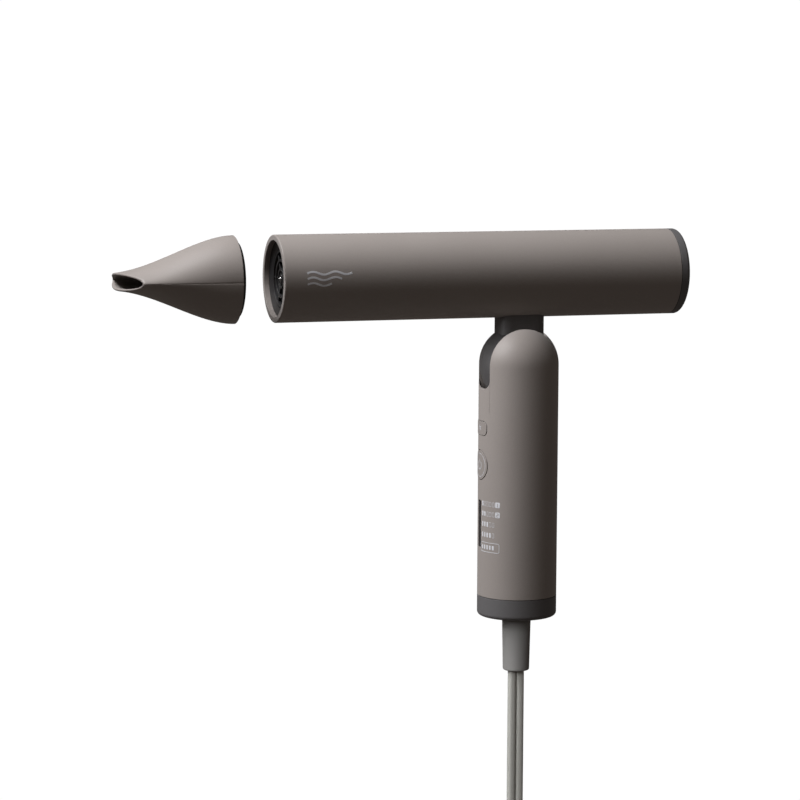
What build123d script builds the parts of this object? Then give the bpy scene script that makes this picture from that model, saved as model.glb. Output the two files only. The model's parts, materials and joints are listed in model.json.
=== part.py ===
from build123d import *
import math
import os

os.makedirs("parts", exist_ok=True)

# Folding hair dryer, in millimetres.  The origin is on the handle's axis in the middle of the grip.
# -X is where the air comes out, +Z is up, and the barrel lies along X above the handle.

# ---------------------------------------------------------------- driving dimensions
hinge_height = 72.5          # fold axis above the middle of the grip
barrel_rise = 48.3           # barrel axis above the fold axis
barrel_radius = 23.0
barrel_wall = 1.8
barrel_front = -135.7
barrel_back = 84.0           # seam between barrel and rear cap
cap_depth = 5.1              # rear cap behind the seam

outlet_recess_radius = 20.0
outlet_recess_depth = 2.8
outlet_cone_depth = 0.9
outlet_bore_radius = 15.4
grille_radii = (4.8, 9.6, 14.4)
grille_spokes = 6

handle_radius = 21.4
handle_wall = 2.0
handle_seam_drop = 124.7     # below the fold axis, where the bottom cap starts
handle_bottom_drop = 136.1
slot_half_width = 9.0
slot_drop = 12.6             # slot's lower end below the fold axis
slot_corner = 5.2
cheek_thickness = 4.0

knuckle_half_width = 8.8
knuckle_radius = 21.1
knuckle_inner_radius = 19.0
neck_half_depth = 12.3
neck_corner = 5.0
pin_radius = 3.0
running_gap = 0.05

small_button_drop = 33.65
small_button_size = (14.0, 7.3)
small_button_corner = 2.6
round_button_drop = 53.7
round_button_radius = 7.85
button_gap = 0.3
button_proud = 0.25
window_drop = 85.4
window_size = (4.1, 25.4)
lamp_count = 5
lamp_pitch = 5.65

relief_length = 30.4         # strain relief below the bottom cap
relief_top_radius = 7.8
relief_end_radius = 7.15
cord_width = 8.8
cord_thickness = 4.4

nozzle_length = 65.8
nozzle_gap = 21.7            # nozzle shell's back face in front of the barrel at rest
nozzle_wall = 1.4
mouth_half_width = 17.5
mouth_half_height = 4.4
lip_cut_near = 14.2          # how far the slanted mouth is cut back at its -Y end
lip_cut_middle = 4.3
lip_cut_far = 5.9
collar_radius = 19.7
collar_step = 2.0

hank_layers = 4
hank_bulb_radius = 26.4
hank_bulb_spacing = 150.0
hank_top = -190.0
plug_size = (24.0, 13.0, 32.0)

# ---------------------------------------------------------------- worked-out places
barrel_height = hinge_height + barrel_rise
barrel_inner = barrel_radius - barrel_wall
handle_inner = handle_radius - handle_wall
handle_seam = hinge_height - handle_seam_drop
handle_bottom = hinge_height - handle_bottom_drop
relief_end = handle_bottom - relief_length
nozzle_back = barrel_front - nozzle_gap
nozzle_tip = nozzle_back - nozzle_length
recess_floor = barrel_front + outlet_recess_depth
grille_front = recess_floor + outlet_cone_depth

barrel_axis = Axis((0, 0, barrel_height), (1, 0, 0))
barrel_section = Plane(origin=(0, 0, barrel_height), x_dir=(1, 0, 0), z_dir=(0, -1, 0))
hinge_section = Plane(origin=(0, 0, hinge_height), x_dir=(1, 0, 0), z_dir=(0, -1, 0))
handle_section = Plane(origin=(0, 0, 0), x_dir=(1, 0, 0), z_dir=(0, -1, 0))


def across_barrel(x):
    """Plane across the barrel at x: its own x is -Y, its y is +Z and its normal is -X."""
    return Plane(origin=(x, 0, barrel_height), x_dir=(0, -1, 0), z_dir=(-1, 0, 0))


def front_plane(x, height):
    """Plane facing the front of the handle: its own x is -Y, its y is +Z, its normal -X."""
    return Plane(origin=(x, 0, height), x_dir=(0, -1, 0), z_dir=(-1, 0, 0))


def barrel_outline(*points):
    """Closed straight-sided outline as (x, radius) points beside the barrel's axis."""
    with BuildSketch(barrel_section) as outline:
        with BuildLine():
            Polyline(*points, close=True)
        make_face()
    return outline.sketch


def tube_outline(start, end, inner, outer):
    """Section of a plain tube on the barrel's axis."""
    return barrel_outline((start, inner), (end, inner), (end, outer), (start, outer))


def handle_outline(*points):
    """Closed straight-sided outline as (radius, z) points beside the handle's axis."""
    with BuildSketch(handle_section) as outline:
        with BuildLine():
            Polyline(*points, close=True)
        make_face()
    return outline.sketch


def rounded_panel(plane, width, height, corner):
    """Rounded rectangle on a plane."""
    with BuildSketch(plane) as panel:
        RectangleRounded(width, height, corner)
    return panel.sketch


# ================================================================ barrel
saddle_screw_reach = 9.4
tenon_size = (12.0, 10.0)
tenon_gap = 0.1

# One moulded tube with an inward lip round the outlet, and holes below for the neck.
with BuildPart() as barrel_shell:
    revolve(
        barrel_outline(
            (barrel_front, outlet_recess_radius),
            (recess_floor, outlet_recess_radius),
            (recess_floor, barrel_inner),
            (barrel_back, barrel_inner),
            (barrel_back, barrel_radius),
            (barrel_front, barrel_radius),
        ),
        axis=barrel_axis,
    )
    front_edges = barrel_shell.edges().filter_by(GeomType.CIRCLE).group_by(Axis.X)[0]
    fillet(front_edges.sort_by(SortBy.RADIUS)[-1], 0.6)
    fillet(barrel_shell.edges().filter_by(GeomType.CIRCLE).group_by(Axis.X)[0].sort_by(SortBy.RADIUS)[0], 0.3)
    with BuildSketch(Plane.XY.offset(barrel_height - barrel_radius - 1)):
        Rectangle(tenon_size[0] + 2 * tenon_gap, tenon_size[1] + 2 * tenon_gap)
        with Locations((-saddle_screw_reach, 0), (saddle_screw_reach, 0)):
            Circle(1.3)
    extrude(amount=barrel_radius / 2, mode=Mode.SUBTRACT)
barrel_shell.part.label = "barrel_shell"
export_step(barrel_shell.part, "parts/barrel_shell.step")

# Dark funnel behind the lip.  Its cone leads down to the grille and hides the magnet ring.
bezel_back = grille_front + 9.0
magnet_front = grille_front + 1.2
magnet_length = 2.5
with BuildPart() as outlet_bezel:
    revolve(
        barrel_outline(
            (recess_floor, outlet_recess_radius - 0.1),
            (grille_front, outlet_bore_radius),
            (bezel_back, outlet_bore_radius),
            (bezel_back, outlet_bore_radius + 1.2),
            (magnet_front, outlet_bore_radius + 1.2),
            (magnet_front, barrel_inner),
            (recess_floor, barrel_inner),
        ),
        axis=barrel_axis,
    )
outlet_bezel.part.label = "outlet_bezel"
export_step(outlet_bezel.part, "parts/outlet_bezel.step")

with BuildPart() as outlet_magnet:
    revolve(
        tube_outline(magnet_front, magnet_front + magnet_length, outlet_bore_radius + 1.2, barrel_inner - 0.4),
        axis=barrel_axis,
    )
outlet_magnet.part.label = "outlet_magnet"
export_step(outlet_magnet.part, "parts/outlet_magnet.step")

# Concentric rings on radial spokes, with an outer rim that sits in the bezel.
grille_depth = 2.0
ring_half_width = 0.55
hub_radius = 2.2
emitter_radius = 0.8
with BuildPart() as outlet_grille:
    for ring_radius in grille_radii:
        revolve(
            tube_outline(
                grille_front,
                grille_front + grille_depth,
                ring_radius - ring_half_width,
                ring_radius + ring_half_width,
            ),
            axis=barrel_axis,
        )
    revolve(
        tube_outline(grille_front, grille_front + grille_depth, emitter_radius, hub_radius),
        axis=barrel_axis,
    )
    revolve(
        tube_outline(
            grille_front + 0.8, grille_front + grille_depth, grille_radii[2], outlet_bore_radius
        ),
        axis=barrel_axis,
    )
    with BuildSketch(across_barrel(grille_front + grille_depth)):
        with PolarLocations((hub_radius + grille_radii[2]) / 2, grille_spokes):
            Rectangle(grille_radii[2] - hub_radius + 0.4, 0.8)
    extrude(amount=grille_depth - 0.5)
outlet_grille.part.label = "outlet_grille"
export_step(outlet_grille.part, "parts/outlet_grille.step")

# Bright needle of the ion emitter, held in the grille's hub.
emitter_proud = 1.0
with BuildPart() as ion_emitter:
    revolve(
        barrel_outline(
            (grille_front - emitter_proud, 0),
            (grille_front - emitter_proud * 0.3, emitter_radius * 0.7),
            (grille_front, emitter_radius),
            (grille_front + 6, emitter_radius),
            (grille_front + 6, 2.0),
            (grille_front + 12, 2.0),
            (grille_front + 12, 0),
        ),
        axis=barrel_axis,
    )
ion_emitter.part.label = "ion_emitter"
export_step(ion_emitter.part, "parts/ion_emitter.step")

# ---------------------------------------------------------------- heater
heater_front = bezel_back + 1.0
heater_back = -44.0
sleeve_radius = 19.8
board_half_height = 17.4
coil_radius = 12.6
coil_wire = 0.7
coil_count = 9
board_thickness = 0.8

with BuildPart() as heater_sleeve:
    revolve(tube_outline(heater_front, heater_back, sleeve_radius - 0.5, sleeve_radius), axis=barrel_axis)
heater_sleeve.part.label = "heater_sleeve"
export_step(heater_sleeve.part, "parts/heater_sleeve.step")

board_start = heater_front + 14.0
coil_pitch = (heater_back - board_start - 8.0) / (coil_count - 1)
coil_places = [board_start + 4.0 + index * coil_pitch for index in range(coil_count)]


def coil_ring(x, wire):
    """One round turn of heating wire, threaded round the crossed boards."""
    with BuildSketch(barrel_section) as wire_end:
        with Locations((x, coil_radius)):
            Circle(wire)
    return wire_end.sketch


# Two mica boards that cross on the barrel's axis and carry the wire in notches.
with BuildPart() as heater_frame:
    with BuildSketch(across_barrel(heater_back)):
        Rectangle(board_thickness, 2 * board_half_height)
        Rectangle(2 * board_half_height, board_thickness)
    extrude(amount=heater_back - board_start)
    for place in coil_places:
        revolve(coil_ring(place, coil_wire + 0.1), axis=barrel_axis, mode=Mode.SUBTRACT)
heater_frame.part.label = "heater_frame"
export_step(heater_frame.part, "parts/heater_frame.step")

with BuildPart() as heating_coils:
    for place in coil_places:
        revolve(coil_ring(place, coil_wire), axis=barrel_axis)
heating_coils.part.label = "heating_coils"
export_step(heating_coils.part, "parts/heating_coils.step")

fuse_radius = 1.6
with BuildPart() as thermal_fuse:
    with BuildSketch(
        Plane(origin=(heater_back - 22, 0, barrel_height), x_dir=(0, 1, 0), z_dir=(1, 0, 0))
    ):
        with Locations((board_thickness / 2 + fuse_radius, 5.0)):
            Circle(fuse_radius)
    extrude(amount=11)
thermal_fuse.part.label = "thermal_fuse"
export_step(thermal_fuse.part, "parts/thermal_fuse.step")

# ---------------------------------------------------------------- motor and fan
housing_front = 16.0
housing_back = 66.0
housing_inner = 17.8
housing_outer = 19.2
hub_inner = 9.4
hub_outer = 10.6
vane_count = 7
bearing_radius = 4.0
bearing_width = 3.0
shaft_radius = 1.5
front_bearing = 24.0
rear_bearing = 50.0
impeller_front = 55.0
impeller_back = 65.0

with BuildPart() as motor_housing:
    revolve(tube_outline(housing_front, housing_back, housing_inner, housing_outer), axis=barrel_axis)
    revolve(tube_outline(housing_front + 6, rear_bearing + bearing_width, hub_inner, hub_outer), axis=barrel_axis)
    revolve(
        tube_outline(front_bearing - 2, front_bearing + bearing_width, bearing_radius, hub_inner + 0.2),
        axis=barrel_axis,
    )
    revolve(
        tube_outline(front_bearing - 2, front_bearing, bearing_radius - 1.2, bearing_radius + 0.2),
        axis=barrel_axis,
    )
    with BuildSketch(across_barrel(48.0)):
        with PolarLocations((hub_outer + housing_inner) / 2, vane_count):
            Rectangle(housing_inner - hub_outer + 0.4, 0.9)
    extrude(amount=24)
motor_housing.part.label = "motor_housing"
export_step(motor_housing.part, "parts/motor_housing.step")

with BuildPart() as rear_bearing_plate:
    revolve(
        tube_outline(rear_bearing, rear_bearing + bearing_width, bearing_radius, hub_inner - 0.02),
        axis=barrel_axis,
    )
rear_bearing_plate.part.label = "rear_bearing_plate"
export_step(rear_bearing_plate.part, "parts/rear_bearing_plate.step")

with BuildPart() as motor_bearings:
    for bearing_place in (front_bearing, rear_bearing):
        revolve(
            tube_outline(
                bearing_place, bearing_place + bearing_width, shaft_radius + 0.02, bearing_radius
            ),
            axis=barrel_axis,
        )
motor_bearings.part.label = "motor_bearings"
export_step(motor_bearings.part, "parts/motor_bearings.step")

stator_front = 31.0
stator_back = 43.0
stator_bore = 4.4
stator_poles = 4
with BuildPart() as motor_stator:
    revolve(tube_outline(stator_front, stator_back, 7.6, hub_inner - 0.02), axis=barrel_axis)
    with BuildSketch(across_barrel(stator_back)):
        with PolarLocations((stator_bore + 7.8) / 2, stator_poles):
            Rectangle(7.8 - stator_bore, 2.6)
    extrude(amount=stator_back - stator_front)
    revolve(tube_outline(stator_front, stator_back, 0, stator_bore), axis=barrel_axis, mode=Mode.SUBTRACT)
motor_stator.part.label = "motor_stator"
export_step(motor_stator.part, "parts/motor_stator.step")

with BuildPart() as stator_windings:
    with BuildSketch(across_barrel(stator_back + 2)):
        with PolarLocations(5.9, stator_poles):
            Rectangle(2.4, 4.8)
    extrude(amount=stator_back - stator_front + 4)
    with BuildSketch(across_barrel(stator_back + 0.05)):
        with PolarLocations(5.9, stator_poles):
            Rectangle(2.8, 2.7)
    extrude(amount=stator_back - stator_front + 0.1, mode=Mode.SUBTRACT)
stator_windings.part.label = "stator_windings"
export_step(stator_windings.part, "parts/stator_windings.step")

# Two soft rings keep the motor's hum out of the barrel shell.
mount_length = 7.0
with BuildPart() as motor_mounts:
    for mount_start in (housing_front + 2, housing_back - 2 - mount_length):
        revolve(
            tube_outline(mount_start, mount_start + mount_length, housing_outer, barrel_inner),
            axis=barrel_axis,
        )
motor_mounts.part.label = "motor_mounts"
export_step(motor_mounts.part, "parts/motor_mounts.step")

with BuildPart() as motor_board:
    revolve(tube_outline(housing_front + 2.2, housing_front + 3.8, 3.0, hub_inner), axis=barrel_axis)
motor_board.part.label = "motor_board"
export_step(motor_board.part, "parts/motor_board.step")

with BuildPart() as rotor_shaft:
    revolve(
        barrel_outline(
            (front_bearing - 1, 0),
            (impeller_back + 1, 0),
            (impeller_back + 1, shaft_radius),
            (front_bearing - 1, shaft_radius),
        ),
        axis=barrel_axis,
    )
rotor_shaft.part.label = "rotor_shaft"
export_step(rotor_shaft.part, "parts/rotor_shaft.step")

with BuildPart() as rotor_magnet:
    revolve(tube_outline(stator_front, stator_back, shaft_radius, stator_bore - 0.5), axis=barrel_axis)
rotor_magnet.part.label = "rotor_magnet"
export_step(rotor_magnet.part, "parts/rotor_magnet.step")

# Small axial fan: a domed hub with raked blades that clear the housing by half a millimetre.
blade_count = 9
blade_tip = 17.2
blade_hub = 8.6
blade_rake = 38.0
with BuildPart() as impeller:
    revolve(
        barrel_outline(
            (impeller_front, shaft_radius),
            (impeller_back, shaft_radius),
            (impeller_back, 4.0),
            (impeller_back - 2.5, 7.0),
            (impeller_back - 6, blade_hub),
            (impeller_front, blade_hub),
        ),
        axis=barrel_axis,
    )
    for blade_index in range(blade_count):
        turn = blade_index * 360 / blade_count
        blade_root = Plane(origin=(0, 0, barrel_height), x_dir=(1, 0, 0), z_dir=(0, 0, 1))
        blade_root = blade_root.rotated((turn, 0, 0)).offset(blade_hub - 0.6)
        with BuildSketch(blade_root):
            with Locations(((impeller_front + impeller_back) / 2 - 1, 0)):
                Rectangle(8.6, 0.7, rotation=blade_rake)
        extrude(amount=blade_tip - blade_hub)
impeller.part.label = "impeller"
export_step(impeller.part, "parts/impeller.step")

# ---------------------------------------------------------------- rear cap, which pulls off with its filter
cap_gap = 0.3
cap_front = barrel_back + cap_gap
cap_back = barrel_back + cap_depth
cap_skirt = 8.0
skirt_outer = barrel_inner - 0.3
skirt_inner = skirt_outer - 1.4
filter_thickness = 0.8
with BuildPart() as rear_cap:
    revolve(
        barrel_outline(
            (cap_front - cap_skirt, skirt_inner),
            (cap_back, skirt_inner),
            (cap_back, barrel_radius),
            (cap_front, barrel_radius),
            (cap_front, skirt_outer),
            (cap_front - cap_skirt, skirt_outer),
        ),
        axis=barrel_axis,
    )
    back_edges = rear_cap.edges().filter_by(GeomType.CIRCLE).group_by(Axis.X)[-1]
    fillet(back_edges.sort_by(SortBy.RADIUS)[-1], 1.8)
    with BuildSketch(across_barrel(cap_back - 0.6)):
        Circle(skirt_inner + 0.2)
        for ring_radius in (4.0, 8.0, 12.0, 16.0):
            with PolarLocations(ring_radius, int(ring_radius * 1.5)):
                Circle(1.35, mode=Mode.SUBTRACT)
        Circle(1.35, mode=Mode.SUBTRACT)
    extrude(amount=1.4)
rear_cap.part.label = "rear_cap"
export_step(rear_cap.part, "parts/rear_cap.step")

with BuildPart() as intake_filter:
    with BuildSketch(across_barrel(cap_back - 2.2)):
        Circle(skirt_inner)
    extrude(amount=filter_thickness)
intake_filter.part.label = "intake_filter"
export_step(intake_filter.part, "parts/intake_filter.step")

# ================================================================ fold hinge
# The knuckle is a slice of a ball that fills the handle's slot.  The part of it that the slot never
# shows is smaller, so that it turns inside the handle's wall.
slot_back_angle = 54.0
slot_front_angle = 220.0
knuckle_sector_reach = 60.0
washer_radius = 7.0
washer_pocket = 0.8

sector_points = [(0, 0)]
sector_steps = 6
for step in range(sector_steps + 1):
    sector_angle = math.radians(
        slot_back_angle + step * (slot_front_angle - slot_back_angle) / sector_steps
    )
    sector_points.append(
        (knuckle_sector_reach * math.cos(sector_angle), knuckle_sector_reach * math.sin(sector_angle))
    )

with BuildPart() as hinge_neck:
    with Locations((0, 0, hinge_height)):
        Sphere(knuckle_radius)
    with BuildSketch(hinge_section) as outside_sector:
        Rectangle(200, 200)
        with BuildLine():
            Polyline(*sector_points, close=True)
        make_face(mode=Mode.SUBTRACT)
    extrude(amount=30, both=True, mode=Mode.SUBTRACT)
    with Locations((0, 0, hinge_height)):
        Sphere(knuckle_inner_radius)
    with BuildSketch(Plane.XY.offset(hinge_height)):
        RectangleRounded(2 * neck_half_depth, 2 * knuckle_half_width, neck_corner)
    extrude(amount=barrel_rise)
    with BuildSketch(Plane.XY.offset(hinge_height - 40)):
        with Locations((0, knuckle_half_width + 20), (0, -knuckle_half_width - 20)):
            Rectangle(100, 40)
    extrude(amount=100, mode=Mode.SUBTRACT)
    revolve(
        barrel_outline((-60, 0), (60, 0), (60, barrel_radius), (-60, barrel_radius)),
        axis=barrel_axis,
        mode=Mode.SUBTRACT,
    )
    with BuildSketch(Plane.XY.offset(barrel_height - barrel_radius - 2)):
        Rectangle(*tenon_size)
    extrude(amount=6.0)
    with BuildSketch(hinge_section):
        Circle(pin_radius + running_gap)
    extrude(amount=20, both=True, mode=Mode.SUBTRACT)
    for side in (-1, 1):
        with BuildSketch(hinge_section.offset(side * (knuckle_half_width - washer_pocket))):
            Circle(washer_radius)
        extrude(amount=side * 5, mode=Mode.SUBTRACT)
    # passage for the leads, from below the pin up into the barrel
    with BuildSketch(Plane.XY.offset(hinge_height + 6)):
        Rectangle(7, 6)
    extrude(amount=barrel_rise, mode=Mode.SUBTRACT)
    with BuildSketch(Plane.XY.offset(barrel_height - barrel_radius - 6)):
        with Locations((-saddle_screw_reach, 0), (saddle_screw_reach, 0)):
            Circle(1.0)
    extrude(amount=12, mode=Mode.SUBTRACT)
hinge_neck.part.label = "hinge_neck"
export_step(hinge_neck.part, "parts/hinge_neck.step")

# Bridge inside the barrel that the neck is screwed to.
saddle_half_length = 13.0
saddle_half_width = 8.0
saddle_thickness = 2.2
screw_head_seat = barrel_height - barrel_inner + 3.2
with BuildPart() as neck_saddle:
    with BuildSketch(Plane.XY.offset(barrel_height - barrel_radius)):
        RectangleRounded(2 * saddle_half_length, 2 * saddle_half_width, 2.0)
    extrude(amount=screw_head_seat - barrel_height + barrel_radius)
    revolve(
        tube_outline(-40, 40, barrel_inner, barrel_radius + 5), axis=barrel_axis, mode=Mode.SUBTRACT
    )
    with BuildSketch(Plane.XY.offset(barrel_height - barrel_radius)):
        Rectangle(tenon_size[0] + 2 * tenon_gap, tenon_size[1] + 2 * tenon_gap)
        with Locations((-saddle_screw_reach, 0), (saddle_screw_reach, 0)):
            Circle(1.3)
    extrude(amount=12, mode=Mode.SUBTRACT)
neck_saddle.part.label = "neck_saddle"
export_step(neck_saddle.part, "parts/neck_saddle.step")

with BuildPart() as saddle_screws:
    with BuildSketch(Plane.XY.offset(screw_head_seat)):
        with Locations((-saddle_screw_reach, 0), (saddle_screw_reach, 0)):
            Circle(2.0)
    extrude(amount=1.4)
    with BuildSketch(Plane.XY.offset(screw_head_seat)):
        with Locations((-saddle_screw_reach, 0), (saddle_screw_reach, 0)):
            Circle(1.0)
    extrude(amount=-9.0)
saddle_screws.part.label = "saddle_screws"
export_step(saddle_screws.part, "parts/saddle_screws.step")

pin_half_length = slot_half_width + cheek_thickness - 0.2
with BuildPart() as hinge_pin:
    with BuildSketch(hinge_section):
        Circle(pin_radius)
    extrude(amount=pin_half_length, both=True)
hinge_pin.part.label = "hinge_pin"
export_step(hinge_pin.part, "parts/hinge_pin.step")

with BuildPart() as friction_washers:
    for side in (-1, 1):
        with BuildSketch(hinge_section.offset(side * (knuckle_half_width - washer_pocket + running_gap))):
            Circle(washer_radius - 0.3)
            Circle(pin_radius, mode=Mode.SUBTRACT)
        extrude(amount=side * (slot_half_width - knuckle_half_width + washer_pocket - running_gap))
friction_washers.part.label = "friction_washers"
export_step(friction_washers.part, "parts/friction_washers.step")

# ================================================================ handle
cheek_bottom = hinge_height - 25.0
slot_back_reach = 12.6
with BuildPart() as handle_shell:
    with BuildSketch(handle_section):
        with BuildLine():
            Line((0, handle_seam), (handle_radius, handle_seam))
            Line((handle_radius, handle_seam), (handle_radius, hinge_height))
            RadiusArc((handle_radius, hinge_height), (0, hinge_height + handle_radius), -handle_radius)
            Line((0, hinge_height + handle_radius), (0, handle_seam))
        make_face()
    revolve(axis=Axis.Z)
    # hollow below the hinge, round in plan
    with BuildSketch(Plane.XY.offset(handle_seam)):
        Circle(handle_inner)
    extrude(amount=cheek_bottom - handle_seam, mode=Mode.SUBTRACT)
    # room for the knuckle between the cheeks, inside the wall
    with BuildSketch(hinge_section):
        with BuildLine():
            Line((-handle_inner, 0), (-handle_inner, cheek_bottom - hinge_height))
            Line((-handle_inner, cheek_bottom - hinge_height), (handle_inner, cheek_bottom - hinge_height))
            Line((handle_inner, cheek_bottom - hinge_height), (handle_inner, 0))
            RadiusArc((handle_inner, 0), (-handle_inner, 0), -handle_inner)
        make_face()
    extrude(amount=slot_half_width, both=True, mode=Mode.SUBTRACT)
    # hollows outside the cheeks
    for side in (-1, 1):
        with BuildSketch(Plane.XY.offset(cheek_bottom)):
            Circle(handle_inner)
            with Locations((0, side * (slot_half_width + cheek_thickness - 50))):
                Rectangle(100, 100, mode=Mode.SUBTRACT)
        extrude(amount=hinge_height - cheek_bottom, mode=Mode.SUBTRACT)
    # slot through the front wall, with round lower corners, and on over the dome
    with BuildSketch(front_plane(0, hinge_height)):
        with Locations((0, 20 - slot_drop)):
            RectangleRounded(2 * slot_half_width, 40, slot_corner)
    extrude(amount=40, mode=Mode.SUBTRACT)
    with BuildSketch(hinge_section):
        with Locations((slot_back_reach - 30, 30)):
            Rectangle(60, 60)
    extrude(amount=slot_half_width, both=True, mode=Mode.SUBTRACT)
    # bore for the hinge pin, through both cheeks
    with BuildSketch(hinge_section):
        Circle(pin_radius)
    extrude(amount=pin_half_length + 0.2, both=True, mode=Mode.SUBTRACT)
    # button holes and lamp window in the front wall
    with BuildSketch(front_plane(0, hinge_height - small_button_drop)):
        RectangleRounded(
            small_button_size[0] + 2 * button_gap,
            small_button_size[1] + 2 * button_gap,
            small_button_corner + button_gap,
        )
    extrude(amount=40, mode=Mode.SUBTRACT)
    with BuildSketch(front_plane(0, hinge_height - round_button_drop)):
        Circle(round_button_radius + button_gap)
    extrude(amount=40, mode=Mode.SUBTRACT)
    with BuildSketch(front_plane(0, hinge_height - window_drop)):
        RectangleRounded(window_size[0], window_size[1], 0.8)
    extrude(amount=40, mode=Mode.SUBTRACT)
handle_shell.part.label = "handle_shell"
export_step(handle_shell.part, "parts/handle_shell.step")

# ---------------------------------------------------------------- boards and switches
board_front = -12.0
board_depth = 1.6
board_half_width = 12.5
board_top = hinge_height - 27.0
board_bottom = hinge_height - 112.0
board_middle = (board_top + board_bottom) / 2
chassis_window_pitch = 26.0
switch_depth = 2.4
lamp_depth = 1.2

with BuildPart() as inner_chassis:
    chassis_front = board_front + board_depth
    with BuildSketch(Plane.XY.offset(board_bottom - 4)):
        with Locations((chassis_front + 1.0, 0)):
            Rectangle(2.0, 2 * 14.0)
        for side in (-1, 1):
            with Locations((chassis_front + 6.0, side * 13.2)):
                Rectangle(12.0, 1.6)
    extrude(amount=board_top - board_bottom + 4)
    with BuildSketch(front_plane(chassis_front + 5, board_middle)):
        with GridLocations(0, chassis_window_pitch, 1, 3):
            RectangleRounded(16, 20, 2)
    extrude(amount=6, mode=Mode.SUBTRACT)
inner_chassis.part.label = "inner_chassis"
export_step(inner_chassis.part, "parts/inner_chassis.step")

with BuildPart() as control_board:
    with BuildSketch(front_plane(board_front + board_depth, board_middle)):
        Rectangle(2 * board_half_width, board_top - board_bottom)
    extrude(amount=board_depth)
control_board.part.label = "control_board"
export_step(control_board.part, "parts/control_board.step")

component_back = board_front + board_depth
with BuildPart() as board_components:
    for window_index, component_size, component_depth in (
        (-1, (11.0, 14.0), 11.0),
        (0, (9.0, 9.0), 1.8),
        (1, (12.0, 10.0), 9.0),
    ):
        component_height = board_middle + window_index * chassis_window_pitch
        with BuildSketch(front_plane(component_back + component_depth, component_height)):
            RectangleRounded(component_size[0], component_size[1], 0.8)
        extrude(amount=component_depth)
board_components.part.label = "board_components"
export_step(board_components.part, "parts/board_components.step")

button_drops = (small_button_drop, round_button_drop)
with BuildPart() as tact_switches:
    for drop in button_drops:
        with BuildSketch(front_plane(board_front, hinge_height - drop)):
            RectangleRounded(6.0, 6.0, 0.5)
        extrude(amount=switch_depth)
tact_switches.part.label = "tact_switches"
export_step(tact_switches.part, "parts/tact_switches.step")

with BuildPart() as mode_lamps:
    for lamp_index in range(lamp_count):
        lamp_height = hinge_height - window_drop + (lamp_index - (lamp_count - 1) / 2) * lamp_pitch
        with BuildSketch(front_plane(board_front, lamp_height)):
            Rectangle(2.4, 1.6)
        extrude(amount=lamp_depth)
mode_lamps.part.label = "mode_lamps"
export_step(mode_lamps.part, "parts/mode_lamps.step")

# Smoked light guide: its outer face is flush with the handle's round wall.
with BuildPart() as mode_window:
    with BuildSketch(front_plane(-15.0, hinge_height - window_drop)):
        RectangleRounded(window_size[0], window_size[1], 0.8)
    extrude(amount=10)
    with BuildSketch(Plane.XY.offset(hinge_height - 120)):
        Circle(handle_radius + 20)
        Circle(handle_radius - 0.1, mode=Mode.SUBTRACT)
    extrude(amount=90, mode=Mode.SUBTRACT)
mode_window.part.label = "mode_window"
export_step(mode_window.part, "parts/mode_window.step")

# Both buttons have a crowned face that follows the handle and a stem down to their switch.
button_stem_radius = 1.6
switch_gap = 0.8


def button_face_cut():
    """Everything outside the round face that the buttons share."""
    with BuildSketch(Plane.XY.offset(hinge_height - 70)) as ring:
        Circle(handle_radius + 20)
        Circle(handle_radius + button_proud, mode=Mode.SUBTRACT)
    return ring.sketch


button_back = -17.6
stem_back = board_front - switch_depth - switch_gap
with BuildPart() as power_button:
    with BuildSketch(front_plane(button_back, hinge_height - round_button_drop)):
        Circle(round_button_radius)
    extrude(amount=10)
    extrude(button_face_cut(), amount=60, mode=Mode.SUBTRACT)
    with BuildSketch(front_plane(stem_back, hinge_height - round_button_drop)):
        Circle(button_stem_radius)
    extrude(amount=stem_back - button_back + 0.2)
power_button.part.label = "power_button"
export_step(power_button.part, "parts/power_button.step")

with BuildPart() as cool_button:
    with BuildSketch(front_plane(button_back, hinge_height - small_button_drop)):
        RectangleRounded(small_button_size[0], small_button_size[1], small_button_corner)
    extrude(amount=10)
    extrude(button_face_cut(), amount=60, mode=Mode.SUBTRACT)
    with BuildSketch(front_plane(stem_back, hinge_height - small_button_drop)):
        Circle(button_stem_radius)
    extrude(amount=stem_back - button_back + 0.2)
cool_button.part.label = "cool_button"
export_step(cool_button.part, "parts/cool_button.step")

# ---------------------------------------------------------------- bottom cap, strain relief, leads
cap_groove = 0.35
spigot_height = 4.0
relief_bore_gap = 0.1
flange_radius = 9.6
cap_floor = 2.4
with BuildPart() as bottom_cap:
    revolve(
        handle_outline(
            (relief_top_radius + relief_bore_gap, handle_bottom),
            (handle_radius, handle_bottom),
            (handle_radius, handle_seam - cap_groove),
            (handle_radius - 0.5, handle_seam - cap_groove),
            (handle_radius - 0.5, handle_seam),
            (handle_inner, handle_seam),
            (handle_inner, handle_seam + spigot_height),
            (handle_inner - 1.6, handle_seam + spigot_height),
            (handle_inner - 1.6, handle_bottom + cap_floor),
            (relief_top_radius + relief_bore_gap, handle_bottom + cap_floor),
        ),
        axis=Axis.Z,
    )
    low_edges = bottom_cap.edges().filter_by(GeomType.CIRCLE).group_by(Axis.Z)[0]
    fillet(low_edges.sort_by(SortBy.RADIUS)[-1], 2.2)
bottom_cap.part.label = "bottom_cap"
export_step(bottom_cap.part, "parts/bottom_cap.step")

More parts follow.
